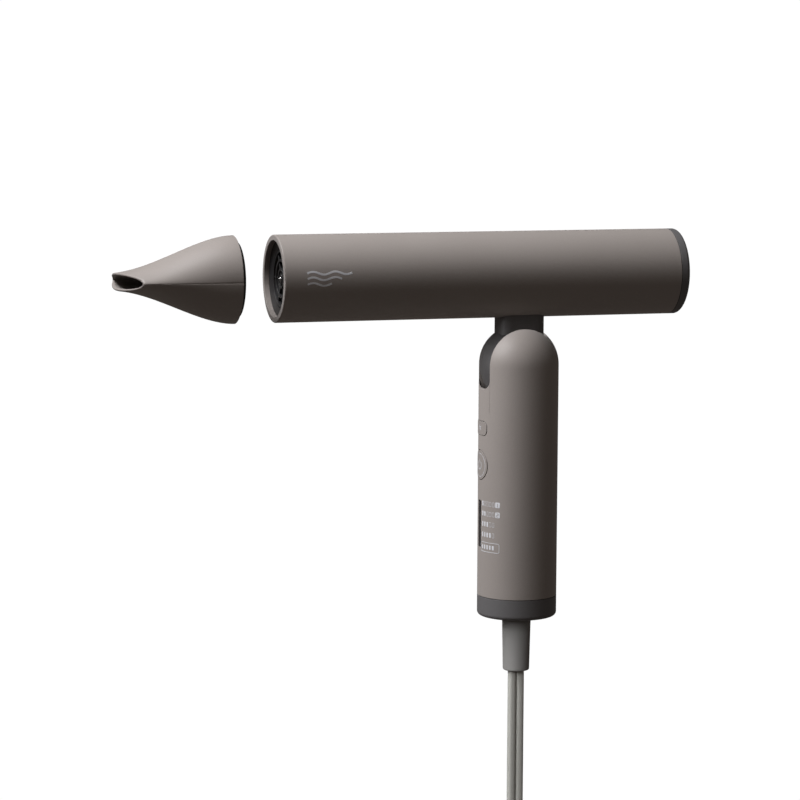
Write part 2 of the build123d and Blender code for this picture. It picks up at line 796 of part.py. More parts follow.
# Tapered rubber sleeve, held by a flange inside the cap, with a flat passage for the twin cord.
with BuildPart() as strain_relief:
    revolve(
        handle_outline(
            (0, relief_end),
            (relief_end_radius, relief_end),
            (relief_top_radius, handle_bottom),
            (relief_top_radius, handle_bottom + cap_floor),
            (flange_radius, handle_bottom + cap_floor),
            (flange_radius, handle_bottom + cap_floor + 2.0),
            (0, handle_bottom + cap_floor + 2.0),
        ),
        axis=Axis.Z,
    )
    fillet(strain_relief.edges().filter_by(GeomType.CIRCLE).group_by(Axis.Z)[0], 0.9)
    with BuildSketch(Plane.XY.offset(relief_end - 1)):
        SlotOverall(cord_width + 0.3, cord_thickness + 0.3)
    extrude(amount=60, mode=Mode.SUBTRACT)
strain_relief.part.label = "strain_relief"
export_step(strain_relief.part, "parts/strain_relief.step")

clamp_bottom = handle_bottom + cap_floor + 2.0
with BuildPart() as cord_clamp:
    with BuildSketch(Plane.XY.offset(clamp_bottom)):
        RectangleRounded(24, 9, 2)
        SlotOverall(cord_width + 0.1, cord_thickness + 0.1, mode=Mode.SUBTRACT)
        with Locations((-9, 0), (9, 0)):
            Circle(1.2, mode=Mode.SUBTRACT)
    extrude(amount=3.0)
cord_clamp.part.label = "cord_clamp"
export_step(cord_clamp.part, "parts/cord_clamp.step")

with BuildPart() as clamp_screws:
    with BuildSketch(Plane.XY.offset(clamp_bottom + 3.0)):
        with Locations((-9, 0), (9, 0)):
            Circle(2.0)
    extrude(amount=1.3)
    with BuildSketch(Plane.XY.offset(clamp_bottom)):
        with Locations((-9, 0), (9, 0)):
            Circle(1.1)
    extrude(amount=3.0)
clamp_screws.part.label = "clamp_screws"
export_step(clamp_screws.part, "parts/clamp_screws.step")

# Two insulated leads from the clamp to the board.
lead_radius = 1.0
lead_start = clamp_bottom + 3.5
with BuildPart() as mains_leads:
    for side in (-1, 1):
        with BuildLine():
            FilletPolyline(
                (side * 2.2, 0, lead_start),
                (side * 2.2, 0, lead_start + 4),
                (-6.5, side * 6.0, board_bottom - 1),
                (-6.5, side * 6.0, board_bottom + 7),
                radius=2.2,
            )
        with BuildSketch(Plane(origin=(side * 2.2, 0, lead_start), z_dir=(0, 0, 1))):
            Circle(lead_radius)
        sweep()
mains_leads.part.label = "mains_leads"
export_step(mains_leads.part, "parts/mains_leads.step")

# ================================================================ cord, hank, tie and plug
cord_start = handle_bottom + 4.0
with BuildPart() as cord:
    with BuildSketch(Plane.XY.offset(hank_top)):
        SlotOverall(cord_width, cord_thickness)
    extrude(amount=cord_start - hank_top)
cord.part.label = "cord"
export_step(cord.part, "parts/cord.step")
print("cord tube: one straight run of", round(cord_start - hank_top, 1), "mm, no arcs")

hank_shell = hank_bulb_radius + cord_thickness / 2 + 0.6
hank_lead_in = 52.0
top_bulb = hank_top - hank_lead_in
low_bulb = top_bulb - hank_bulb_spacing
hank_waist = (top_bulb + low_bulb) / 2
waist_half = 7.4
tie_height = 12.0
tie_thickness = 1.6
hank_depth = hank_layers * cord_width
hank_near = -1.5 * cord_width
hank_middle = hank_near + hank_depth / 2
window_radius = hank_bulb_radius - cord_thickness / 2 - 0.8
with BuildPart() as cord_hank:
    with BuildSketch(Plane(origin=(0, hank_near, 0), x_dir=(1, 0, 0), z_dir=(0, -1, 0))):
        with Locations((0, hank_waist)):
            Rectangle(2 * waist_half, 30)
    extrude(amount=-hank_depth)
    for bulb, point, point_radius in (
        (top_bulb, hank_top - 5.0, 5.0),
        (top_bulb, hank_waist, waist_half),
        (low_bulb, hank_waist, waist_half),
    ):
        with BuildSketch(Plane(origin=(0, hank_near, 0), x_dir=(1, 0, 0), z_dir=(0, -1, 0))):
            with Locations((0, bulb)):
                Circle(hank_shell)
            with Locations((0, point)):
                Circle(point_radius)
            make_hull()
        extrude(amount=-hank_depth)
    with BuildSketch(Plane(origin=(0, hank_near - 1, 0), x_dir=(1, 0, 0), z_dir=(0, -1, 0))):
        with Locations((0, low_bulb)):
            Circle(window_radius)
        with Locations((0, hank_waist - 22)):
            Circle(2.0)
        make_hull()
    extrude(amount=-hank_depth - 2, mode=Mode.SUBTRACT)
    with BuildSketch(Plane.XY.offset(hank_waist - tie_height / 2)):
        for side in (-1, 1):
            with Locations((side * (waist_half + 15), hank_middle)):
                Rectangle(30, 2 * hank_depth)
    extrude(amount=tie_height, mode=Mode.SUBTRACT)
    with BuildSketch(Plane.XY.offset(hank_top - 0.6)):
        Rectangle(60, 100)
    extrude(amount=10, mode=Mode.SUBTRACT)
    with BuildSketch(Plane.XY.offset(hank_top - 0.6)):
        SlotOverall(cord_width, cord_thickness)
    extrude(amount=0.6)
cord_hank.part.label = "cord_hank"
export_step(cord_hank.part, "parts/cord_hank.step")

with BuildPart() as cord_tie:
    with BuildSketch(Plane.XY.offset(hank_waist - tie_height / 2)):
        with Locations((0, hank_middle)):
            RectangleRounded(
                2 * (waist_half + tie_thickness), hank_depth + 2 * tie_thickness, 3.0
            )
            Rectangle(2 * waist_half, hank_depth, mode=Mode.SUBTRACT)
    extrude(amount=tie_height)
cord_tie.part.label = "cord_tie"
export_step(cord_tie.part, "parts/cord_tie.step")

# Flat two-blade plug, tucked in the lower loop of the hank with its blades down.
plug_middle = hank_near + hank_depth - cord_width / 2 - 1.0
plug_top = hank_waist - 38.0
blade_spacing = 12.7
blade_size = (1.5, 6.3, 17.5)
with BuildPart() as plug_body:
    with BuildSketch(Plane.XY.offset(plug_top - plug_size[2])):
        with Locations((0, plug_middle)):
            RectangleRounded(plug_size[0], plug_size[1], 4.0)
    with BuildSketch(Plane.XY.offset(plug_top - 8)):
        with Locations((0, plug_middle)):
            RectangleRounded(plug_size[0] - 3, plug_size[1] - 1.5, 4.0)
    loft()
    with BuildSketch(Plane.XY.offset(plug_top - 8)):
        with Locations((0, plug_middle)):
            RectangleRounded(14, 9.5, 3.5)
    extrude(amount=8)
plug_body.part.label = "plug_body"
export_step(plug_body.part, "parts/plug_body.step")

with BuildPart() as plug_blades:
    with BuildSketch(Plane.XY.offset(plug_top - plug_size[2] - blade_size[2])):
        with Locations((-blade_spacing / 2, plug_middle), (blade_spacing / 2, plug_middle)):
            Rectangle(blade_size[0], blade_size[1])
    extrude(amount=blade_size[2])
plug_blades.part.label = "plug_blades"
export_step(plug_blades.part, "parts/plug_blades.step")

# ================================================================ nozzle
# Each cross-section is two arcs that meet at the sides.  They make a full circle at the back and a
# pointed lens at the mouth, so a crease grows along each side towards the mouth.
nozzle_stations = 17


def nozzle_shape(share):
    """Half height and half width of the nozzle, from its back (0) to its mouth (1)."""
    ease = share * share * (3 - 2 * share)
    height = barrel_radius + (mouth_half_height - barrel_radius) * ease ** 0.92
    width = barrel_radius + (mouth_half_width - barrel_radius) * share ** 1.4
    return height, width


def nozzle_section(share, x, inset):
    """One lens-shaped section, drawn in by the wall thickness when inset is given."""
    height, width = nozzle_shape(share)
    with BuildSketch(across_barrel(x)) as section:
        with BuildLine():
            ThreePointArc((-width + inset * 1.3, 0), (0, height - inset), (width - inset * 1.3, 0))
            ThreePointArc((width - inset * 1.3, 0), (0, -height + inset), (-width + inset * 1.3, 0))
        make_face()
    return section.sketch


def nozzle_places():
    """Shares and x places of the sections, from the back of the nozzle to its tip."""
    for station in range(nozzle_stations):
        share = station / (nozzle_stations - 1)
        yield share, nozzle_back - share * nozzle_length


with BuildPart() as nozzle_shell:
    loft([nozzle_section(share, x, 0) for share, x in nozzle_places()], ruled=True)
    loft(
        [nozzle_section(share, x, nozzle_wall) for share, x in nozzle_places()],
        ruled=True,
        mode=Mode.SUBTRACT,
    )
    # both lips are cut to a curve, fullest in the middle
    with BuildSketch(Plane.XY.offset(barrel_height)):
        with BuildLine():
            ThreePointArc(
                (nozzle_tip + lip_cut_near, -mouth_half_width),
                (nozzle_tip + lip_cut_middle, 0),
                (nozzle_tip + lip_cut_far, mouth_half_width),
            )
            Polyline(
                (nozzle_tip + lip_cut_far, mouth_half_width),
                (nozzle_tip + lip_cut_far + 3, mouth_half_width + 12),
                (nozzle_tip - 10, mouth_half_width + 12),
                (nozzle_tip - 10, -mouth_half_width - 12),
                (nozzle_tip + lip_cut_near + 10, -mouth_half_width - 12),
                (nozzle_tip + lip_cut_near, -mouth_half_width),
            )
        make_face()
    extrude(amount=30, both=True, mode=Mode.SUBTRACT)
nozzle_shell.part.label = "nozzle_shell"
export_step(nozzle_shell.part, "parts/nozzle_shell.step")

# Black collar that drops into the barrel's recess.
collar_inner = 15.6
collar_front = nozzle_back - 3.4
collar_seat_radius = barrel_radius - nozzle_wall - 0.9
with BuildPart() as nozzle_collar:
    revolve(
        barrel_outline(
            (collar_front, collar_inner),
            (nozzle_back + collar_step, collar_inner),
            (nozzle_back + collar_step, collar_radius),
            (nozzle_back + 0.1, collar_radius),
            (nozzle_back + 0.1, collar_seat_radius),
            (collar_front, collar_seat_radius),
        ),
        axis=barrel_axis,
    )
    revolve(
        tube_outline(nozzle_back - 2.6, nozzle_back + 0.2, collar_inner + 1.0, collar_radius - 1.6),
        axis=barrel_axis,
        mode=Mode.SUBTRACT,
    )
nozzle_collar.part.label = "nozzle_collar"
export_step(nozzle_collar.part, "parts/nozzle_collar.step")

with BuildPart() as nozzle_magnet:
    revolve(
        tube_outline(nozzle_back - 2.6, nozzle_back + 0.2, collar_inner + 1.0, collar_radius - 1.6),
        axis=barrel_axis,
    )
nozzle_magnet.part.label = "nozzle_magnet"
export_step(nozzle_magnet.part, "parts/nozzle_magnet.step")
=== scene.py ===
import bpy
import json
import math
from mathutils import Matrix, Vector

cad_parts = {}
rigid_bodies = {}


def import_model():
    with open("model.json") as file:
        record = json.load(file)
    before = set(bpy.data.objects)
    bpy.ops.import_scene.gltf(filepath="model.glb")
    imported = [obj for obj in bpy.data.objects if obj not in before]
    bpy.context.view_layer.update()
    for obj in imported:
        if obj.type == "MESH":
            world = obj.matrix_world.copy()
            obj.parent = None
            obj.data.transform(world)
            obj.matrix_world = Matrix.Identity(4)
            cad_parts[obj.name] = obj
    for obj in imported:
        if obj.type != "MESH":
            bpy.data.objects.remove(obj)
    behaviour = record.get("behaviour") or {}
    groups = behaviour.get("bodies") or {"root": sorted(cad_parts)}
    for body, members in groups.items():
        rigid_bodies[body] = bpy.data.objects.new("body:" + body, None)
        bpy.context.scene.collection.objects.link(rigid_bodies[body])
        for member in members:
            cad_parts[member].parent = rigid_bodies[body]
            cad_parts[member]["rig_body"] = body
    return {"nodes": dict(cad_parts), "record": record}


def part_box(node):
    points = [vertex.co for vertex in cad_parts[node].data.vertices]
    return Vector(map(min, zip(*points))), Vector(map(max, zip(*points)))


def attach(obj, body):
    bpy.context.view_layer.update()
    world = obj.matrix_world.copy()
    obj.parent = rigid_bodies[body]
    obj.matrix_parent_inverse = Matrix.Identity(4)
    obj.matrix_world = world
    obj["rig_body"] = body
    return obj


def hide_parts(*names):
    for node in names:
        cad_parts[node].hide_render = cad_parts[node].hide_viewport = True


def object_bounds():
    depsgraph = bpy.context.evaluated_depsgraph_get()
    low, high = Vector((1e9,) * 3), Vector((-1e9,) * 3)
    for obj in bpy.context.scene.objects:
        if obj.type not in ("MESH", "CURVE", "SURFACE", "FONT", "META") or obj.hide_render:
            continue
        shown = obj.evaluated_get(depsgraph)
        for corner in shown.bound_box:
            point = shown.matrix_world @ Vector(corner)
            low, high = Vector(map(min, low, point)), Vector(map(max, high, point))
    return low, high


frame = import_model()
cad_low, cad_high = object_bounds()

# A slim folding hair dryer, in metres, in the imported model's frame: -X is where the air comes out,
# +Z is up, and the camera looks from -Y.
MM = 0.001
scene = bpy.context.scene


# ================================================================ helpers for shapes
def skin(rings, cap_ends=True, closed=False):
    """Points and faces of a skin over rings; the rings run on into each other when closed."""
    count = len(rings[0])
    points = [point for ring in rings for point in ring]
    faces = []
    spans = len(rings) if closed else len(rings) - 1
    for i in range(spans):
        first = i * count
        second = (i + 1) % len(rings) * count
        for j in range(count):
            k = (j + 1) % count
            faces.append((first + j, first + k, second + k, second + j))
    if cap_ends and not closed:
        faces.append(tuple(range(count))[::-1])
        faces.append(tuple((len(rings) - 1) * count + i for i in range(count)))
    return points, faces


def make_object(name, skins, smooth_angle=40):
    """Mesh object from a list of skins, shaded smooth except over sharp edges."""
    points, faces = [], []
    for skin_points, skin_faces in skins:
        start = len(points)
        points += [tuple(point) for point in skin_points]
        faces += [tuple(start + i for i in face) for face in skin_faces]
    mesh = bpy.data.meshes.new(name)
    mesh.from_pydata(points, [], faces)
    mesh.validate()
    mesh.shade_smooth()
    mesh.set_sharp_from_angle(angle=math.radians(smooth_angle))
    made = bpy.data.objects.new(name, mesh)
    scene.collection.objects.link(made)
    return made


def smoothstep(share):
    """Eases from 0 to 1 with a level start and end."""
    share = min(1.0, max(0.0, share))
    return share * share * (3 - 2 * share)


def rounded_ring(half_x, half_y, corner, steps=8):
    """Rounded rectangle as (x, y), anticlockwise."""
    corner = min(corner, half_x, half_y)
    ring = []
    for quarter, (sx, sy) in enumerate(((1, 1), (-1, 1), (-1, -1), (1, -1))):
        for i in range(steps + 1):
            angle = math.radians(90 * (quarter + i / steps))
            ring.append((
                sx * (half_x - corner) + corner * math.cos(angle),
                sy * (half_y - corner) + corner * math.sin(angle),
            ))
    return ring


# ================================================================ places taken from the frame
barrel_low, barrel_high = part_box("barrel_shell")
barrel_radius = (barrel_high.y - barrel_low.y) / 2
barrel_height = barrel_high.z - barrel_radius
handle_low, handle_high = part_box("handle_shell")
handle_radius = (handle_high.y - handle_low.y) / 2
pin_low, pin_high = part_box("hinge_pin")
aim_height = (pin_low.z + pin_high.z) / 2 - 2.5 * MM
hinge = Vector((0, 0, aim_height))
relief_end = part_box("strain_relief")[0].z
hank_low, hank_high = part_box("cord_hank")
plug_low, plug_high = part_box("plug_body")
tie_low, tie_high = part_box("cord_tie")
nozzle_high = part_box("nozzle_shell")[1]
power_low, power_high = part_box("power_button")
cool_low, cool_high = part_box("cool_button")

# ================================================================ camera
azimuth = math.radians(-17.298)
elevation = math.radians(6.930)
roll = math.radians(0.264)
camera_distance = 1.6068
aim_left = 63.58 * MM
aim_down = 16.87 * MM
back = Vector((
    math.sin(azimuth) * math.cos(elevation),
    -math.cos(azimuth) * math.cos(elevation),
    math.sin(elevation),
))
level = Vector((math.cos(azimuth), math.sin(azimuth), 0))
upright = back.cross(level)
camera_right = math.cos(roll) * level + math.sin(roll) * upright
camera_up = math.cos(roll) * upright - math.sin(roll) * level
camera_place = hinge - aim_left * camera_right - aim_down * camera_up + camera_distance * back
camera_data = bpy.data.cameras.new("camera")
camera_data.lens = 135
camera_data.sensor_width = 36
camera_data.clip_end = 40
camera = bpy.data.objects.new("camera", camera_data)
camera.matrix_world = Matrix.Translation(camera_place) @ Matrix(
    (camera_right, camera_up, back)
).transposed().to_4x4()
scene.collection.objects.link(camera)
scene.camera = camera

# ================================================================ cord
cord_width = 8.8 * MM
cord_thickness = 4.4 * MM
bulb_radius = 26.8 * MM
lead_in = 52.0 * MM
hank_turns = 3
top_bulb = hank_high.z - lead_in
hank_waist = (tie_low.z + tie_high.z) / 2
low_bulb = 2 * hank_waist - top_bulb
first_layer = hank_low.y + cord_width / 2
last_layer = first_layer + hank_turns * cord_width
plug_middle = (plug_low.y + plug_high.y) / 2

# Straight down out of the strain relief, then off to the left side of the hank's upper loop.
lead_points = [
    (0, 0, relief_end + 8 * MM),
    (0, 0, relief_end - 20 * MM),
    (0, 0, relief_end - 60 * MM),
    (0, 0, hank_high.z + 5 * MM),
    (-22 * MM, first_layer * 0.85, top_bulb + 16 * MM),
]

# A quadratic spline runs a little inside its control points on a round loop.
loop_step = 30
loop_reach = bulb_radius / ((6 + 2 * math.cos(math.radians(loop_step))) / 8)
waist_side = 2.9 * MM
flare_side = 9.6 * MM
flare_rise = 16.0 * MM


def loop_point(angle, centre):
    """(x, z) on a round loop of the hank about a centre height."""
    turned = math.radians(angle)
    return loop_reach * math.cos(turned), centre + loop_reach * math.sin(turned)


def waist_points(side):
    """(x, z) past the waist on one side, from the top down on the left, bottom up on the right."""
    return [
        (side * flare_side, hank_waist - side * flare_rise),
        (side * waist_side, hank_waist),
        (side * flare_side, hank_waist + side * flare_rise),
    ]


def hank_turn():
    """One turn as (x, z): down the left, round the lower loop, up the right and over the top."""
    points = [loop_point(angle, top_bulb) for angle in (165, 195)]
    points += waist_points(-1)
    points += [loop_point(angle, low_bulb) for angle in range(165, 376, loop_step)]
    points += waist_points(1)
    points += [loop_point(angle, top_bulb) for angle in range(-15, 150, loop_step)]
    return points


def hank_route():
    """The turns side by side, each one cord further back than the last."""
    turn = hank_turn()
    runs = [math.dist(place, turn[(i + 1) % len(turn)]) for i, place in enumerate(turn)]
    points = []
    for count in range(hank_turns):
        travelled = 0.0
        for (x, z), run in zip(turn, runs):
            points.append((x, first_layer + cord_width * (count + travelled / sum(runs)), z))
            travelled += run
    return points


# The last strand leaves the turns at the waist and hangs into the plug.
tail_points = [
    (x, last_layer, z)
    for x, z in (loop_point(165, top_bulb), loop_point(195, top_bulb), waist_points(-1)[0])
] + [
    (0.5 * MM, last_layer, hank_waist - 4 * MM),
    (0, plug_middle + 0.6 * MM, plug_high.z + 18 * MM),
    (0, plug_middle, plug_high.z),
    (0, plug_middle, plug_high.z - 6 * MM),
]


def spline_points(name, points, steps):
    """The points of one smooth NURBS line through the route."""
    line = bpy.data.curves.new(name, "CURVE")
    line.dimensions = "3D"
    line.resolution_u = steps
    spline = line.splines.new("NURBS")
    spline.points.add(len(points) - 1)
    for control, point in zip(spline.points, points):
        control.co = (*point, 1)
    spline.order_u = 3
    spline.use_endpoint_u = True
    holder = bpy.data.objects.new(name, line)
    scene.collection.objects.link(holder)
    mesh = bpy.data.meshes.new_from_object(holder)
    followed = [vertex.co.copy() for vertex in mesh.vertices]
    bpy.data.objects.remove(holder)
    bpy.data.meshes.remove(mesh)
    bpy.data.curves.remove(line)
    return followed


def twin_section():
    """Outline of two flat-sided cores with a groove between them, as (across, out)."""
    lobe = cord_thickness / 2
    squareness = 0.72
    outline = []
    for side in (1, -1):
        for i in range(21):
            angle = math.radians(-155 + 310 * i / 20)
            across = math.copysign(abs(math.cos(angle)) ** squareness, math.cos(angle))
            out = math.copysign(abs(math.sin(angle)) ** squareness, math.sin(angle))
            outline.append((side * lobe * (1 + across), side * lobe * out))
    return outline


def cord_rings(path):
    """Twin-core sections along the path, flat to the front where it hangs, edge-on in the hank."""
    outline = twin_section()
    lead_end = len(path) / 6
    tail_start = 0.95 * len(path)
    rings = []
    for i, place in enumerate(path):
        ahead = path[min(i + 1, len(path) - 1)] - path[max(i - 1, 0)]
        ahead.normalize()
        if i < tail_start:
            turned = 1.0
            if i < lead_end:
                turned = smoothstep((hank_high.z + 14 * MM - place.z) / (56 * MM))
        else:
            turned = 1 - smoothstep((hank_waist - 8 * MM - place.z) / (28 * MM))
        angle = math.radians(90) * turned
        across = Vector((math.cos(angle), -math.sin(angle), 0))
        across -= across.dot(ahead) * ahead
        across.normalize()
        out = ahead.cross(across)
        rings.append([place + u * across + v * out for u, v in outline])
    return rings


cord_path = spline_points("cord_route", lead_points + hank_route() + tail_points, 8)
cord = make_object("mains_cord", [skin(cord_rings(cord_path))], smooth_angle=50)


def make_tie():
    """A strap round the waist of the hank: a closed band with chamfered edges."""
    middle_y = (tie_low.y + tie_high.y) / 2
    half_x = (tie_high.x - tie_low.x) / 2
    half_y = (tie_high.y - tie_low.y) / 2
    height = tie_high.z - tie_low.z
    band = 1.3 * MM
    edge = 0.35 * MM
    corner = 3.0 * MM
    profile = [
        (0, edge), (edge, 0), (height - edge, 0), (height, edge),
        (height, band - edge), (height - edge, band), (edge, band), (0, band - edge),
    ]
    outer = rounded_ring(half_x, half_y, corner)
    rings = []
    for x, y in outer:
        inward = Vector((-x / half_x, -y / half_y, 0))
        if abs(x) < half_x - corner:
            inward.x = 0
        if abs(y) < half_y - corner:
            inward.y = 0
        inward.normalize()
        rings.append([
            Vector((x, middle_y + y, tie_low.z + rise)) + inward * depth for rise, depth in profile
        ])
    return make_object("hank_tie", [skin(rings, closed=True)], smooth_angle=60)


tie = make_tie()


def make_plug():
    """Moulded plug: a ribbed neck, a body that widens towards the blades and a rounded face."""
    half_x = (plug_high.x - plug_low.x) / 2
    half_y = (plug_high.y - plug_low.y) / 2
    neck = (7.0 * MM, 4.75 * MM)
    neck_corner = 3.5 * MM
    body_corner = 4.0 * MM
    length = plug_high.z - plug_low.z
    stations = [(0.0, 0.72), (0.2, 0.86)]
    for rib in range(4):
        start = 0.6 + 1.85 * rib
        stations += [(start, 1.0), (start + 1.0, 1.0), (start + 1.15, 0.84), (start + 1.7, 0.84)]
    rings = []
    for depth, share in stations:
        rings.append((depth * MM, neck[0] * share, neck[1] * share, neck_corner))
    for depth, share in ((8.0, 0.72), (8.6, 0.80), (9.6, 0.845), (12.0, 0.87), (20.0, 0.93)):
        rings.append((depth * MM, half_x * share, half_y * share, body_corner))
    for depth, share in ((30.0, 0.99), (30.7, 1.0), (31.4, 0.98), (31.8, 0.95), (32.0, 0.9)):
        rings.append((depth * MM, half_x * share, half_y * share, body_corner))
    skins = []
    shaped = []
    for depth, ring_x, ring_y, corner in rings:
        height = plug_high.z - min(depth, length)
        shaped.append([
            Vector((x, plug_middle + y, height)) for x, y in rounded_ring(ring_x, ring_y, corner)
        ])
    skins.append(skin(shaped))
    # three low finger ribs on both flat sides
    for side in (-1, 1):
        for rib in range(3):
            height = plug_high.z - (16.0 + 4.0 * rib) * MM
            reach = half_y * (0.905 + 0.025 * rib)
            ribs = []
            for i in range(13):
                x = (i / 12 - 0.5) * 13.0 * MM
                swell = 0.35 * MM * math.sqrt(max(0.0, 1 - (i / 6 - 1) ** 2))
                section = [
                    (0.7 * MM * math.cos(turn), swell * math.sin(turn))
                    for turn in (math.radians(30 * step) for step in range(12))
                ]
                ribs.append([
                    Vector((x, plug_middle + side * (reach + out), height + rise))
                    for rise, out in section
                ])
            skins.append(skin(ribs))
    return make_object("mains_plug", skins, smooth_angle=50)


plug = make_plug()

# ================================================================ nozzle
nozzle_length = 65.8 * MM
nozzle_tip = nozzle_high.x - nozzle_length
nozzle_wall = 1.4 * MM
mouth_half_width = 17.5 * MM
mouth_half_height = 4.4 * MM
lip_cut_near = 14.5 * MM
lip_cut_middle = 4.6 * MM
lip_cut_far = 6.2 * MM
side_rounding = 0.55
height_ease = 0.92
width_ease = 1.4
parting_depth = 0.12 * MM


def nozzle_shape(share):
    """Half height and half width of the nozzle, from its back (0) to its mouth (1)."""
    height = barrel_radius + (mouth_half_height - barrel_radius) * smoothstep(share) ** height_ease
    width = barrel_radius + (mouth_half_width - barrel_radius) * share ** width_ease
    return height, width


def nozzle_point(share, around, inset):
    """Point of the section; around runs -1..1 over the top and 1..3 underneath."""
    height, width = nozzle_shape(share)
    height -= inset
    width -= inset * 1.3
    drop = (width * width - height * height) / (2 * height)
    radius = height + drop
    place = around if around <= 1 else 2 - around
    y = width * math.sin(math.radians(90) * place)
    lens = math.sqrt(max(0.0, radius * radius - y * y)) - drop
    oval = height * math.cos(math.radians(90) * place)
    z = (1 - side_rounding) * lens + side_rounding * oval
    if inset == 0:
        y *= 1 - parting_depth / width * math.exp(-(((1 - abs(place)) / 0.006) ** 2))
    return Vector((
        nozzle_high.x - share * nozzle_length, y, barrel_height + (z if around <= 1 else -z)
    ))


def lip_place(y):
    """x of the slanted, bowed lips at a sideways place; the camera side is cut back further."""
    share = max(-1.0, min(1.0, y / mouth_half_width))
    bow = (lip_cut_near + lip_cut_far) / 2 - lip_cut_middle
    slant = (lip_cut_far - lip_cut_near) / 2
    return nozzle_tip + lip_cut_middle + bow * share * share + slant * share


def lip_share(around, inset):
    """Share of the length at which the surface meets the curve of the lips."""
    low, high = 0.5, 1.0
    for _ in range(30):
        middle = (low + high) / 2
        point = nozzle_point(middle, around, inset)
        if point.x > lip_place(point.y):
            low = middle
        else:
            high = middle
    return low


def make_nozzle():
    """Thin shell with rounded lips: outer skin forwards, round the lip, inner skin back."""
    around_count = 240
    along_count = 72
    lip_steps = 6
    arounds = [-1 + 4 * i / around_count for i in range(around_count)]
    arounds = sorted(arounds + [-0.997, 0.997, 1.003, 2.997])
    outer_ends = [lip_share(around, 0) for around in arounds]
    inner_ends = [lip_share(around, nozzle_wall) for around in arounds]
    half_lip = nozzle_wall * 0.5
    rings = []
    for i in range(along_count + 1):
        share = i / along_count
        trim = 1 - half_lip / nozzle_length * share
        rings.append([
            nozzle_point(share * end * trim, around, 0) for around, end in zip(arounds, outer_ends)
        ])
    for i in range(1, lip_steps):
        swing = math.pi * i / lip_steps
        ring = []
        for around, outer_end, inner_end in zip(arounds, outer_ends, inner_ends):
            inset = half_lip * (1 - math.cos(swing))
            blend = inset / nozzle_wall
            trim = 1 - half_lip / nozzle_length
            end = outer_end + (inner_end - outer_end) * blend
            point = nozzle_point(end * trim, around, inset)
            point.x -= half_lip * math.sin(swing)
            ring.append(point)
        rings.append(ring)
    for i in range(along_count, -1, -1):
        share = i / along_count
        trim = 1 - half_lip / nozzle_length * share
        rings.append([
            nozzle_point(share * end * trim, around, nozzle_wall)
            for around, end in zip(arounds, inner_ends)
        ])
    return make_object("nozzle_skin", [skin(rings, closed=True)], smooth_angle=32)


nozzle = make_nozzle()


# ================================================================ printed marks
print_height = 0.03 * MM


def on_handle(u, v, out):
    """Place on the handle: u is arc length from the front line towards the camera side, v height."""
    angle = u / handle_radius
    reach = handle_radius + out
    return Vector((-reach * math.cos(angle), -reach * math.sin(angle), v))


def on_button(u, v, out):
    """Place on a button's crowned face, a quarter of a millimetre proud of the handle."""
    return on_handle(u, v, out + 0.25 * MM)


def on_barrel(u, v, out):
    """Place on the barrel's camera side: u along X, v arc length above the middle line."""
    angle = v / barrel_radius
    reach = barrel_radius + out
    return Vector((u, -reach * math.cos(angle), barrel_height + reach * math.sin(angle)))


def stroke(place, points, width, closed=False, widths=None):
    """Thin raised strip that follows flat points on a surface."""
    spread = []
    count = len(points)
    for i, point in enumerate(points):
        spread.append((point, widths[i] if widths else width))
        if closed or i < count - 1:
            ahead = points[(i + 1) % count]
            pieces = int(math.dist(point, ahead) / (0.5 * MM)) + 1
            for j in range(1, pieces):
                share = j / pieces
                between = [a + (b - a) * share for a, b in zip(point, ahead)]
                wide = width
                if widths:
                    wide = widths[i] + (widths[(i + 1) % count] - widths[i]) * share
                spread.append((between, wide))
    rings = []
    total = len(spread)
    for i, (point, wide) in enumerate(spread):
        before = spread[(i - 1) % total if closed else max(i - 1, 0)][0]
        after = spread[(i + 1) % total if closed else min(i + 1, total - 1)][0]
        run = (after[0] - before[0], after[1] - before[1])
        size = math.hypot(*run)
        side = (-run[1] / size * wide / 2, run[0] / size * wide / 2)
        left = (point[0] + side[0], point[1] + side[1])
        right = (point[0] - side[0], point[1] - side[1])
        rings.append([
            place(*left, print_height), place(*right, print_height),
            place(*right, -print_height), place(*left, -print_height),
        ])
    return skin(rings, closed=closed)


def rounded_box_line(u, v, width, height, corner):
    """Outline of a rounded box as flat points on a surface."""
    return [
        (u + x, v + y) for x, y in rounded_ring(width / 2, height / 2, corner, steps=4)
    ]


def filled_box(place, u, v, width, height, corner):
    """Filled rounded box drawn as one wide strip that narrows round its corners."""
    points, widths = [], []
    for i in range(7):
        angle = math.radians(90 * i / 6)
        points.append((u - width / 2 + corner * (1 - math.cos(angle)), v))
        widths.append(height - 2 * corner * (1 - math.sin(angle)))
    for i in range(7):
        angle = math.radians(90 * (1 - i / 6))
        points.append((u + width / 2 - corner * (1 - math.cos(angle)), v))
        widths.append(height - 2 * corner * (1 - math.sin(angle)))
    return stroke(place, points, height, widths=widths)


def digit_one(place, u, v, height, width):
    """The number 1 as one stroke."""
    return [stroke(place, [(u, v - height / 2), (u, v + height / 2)], width)]


def digit_two(place, u, v, height, width):
    """The number 2 as one squared stroke."""
    half_u, half_v = height * 0.28, height / 2
    return [stroke(place, [
        (u - half_u, v + half_v), (u + half_u, v + half_v), (u + half_u, v),
        (u - half_u, v), (u - half_u, v - half_v), (u + half_u, v - half_v),
    ], width)]


label_heights = [height * MM for height in (-1.4, -6.8, -12.4, -18.1, -24.8)]
label_start = 3.0 * MM
bar_pitch = 2.1 * MM
bar_width = 1.2 * MM
number_middle = 15.2 * MM


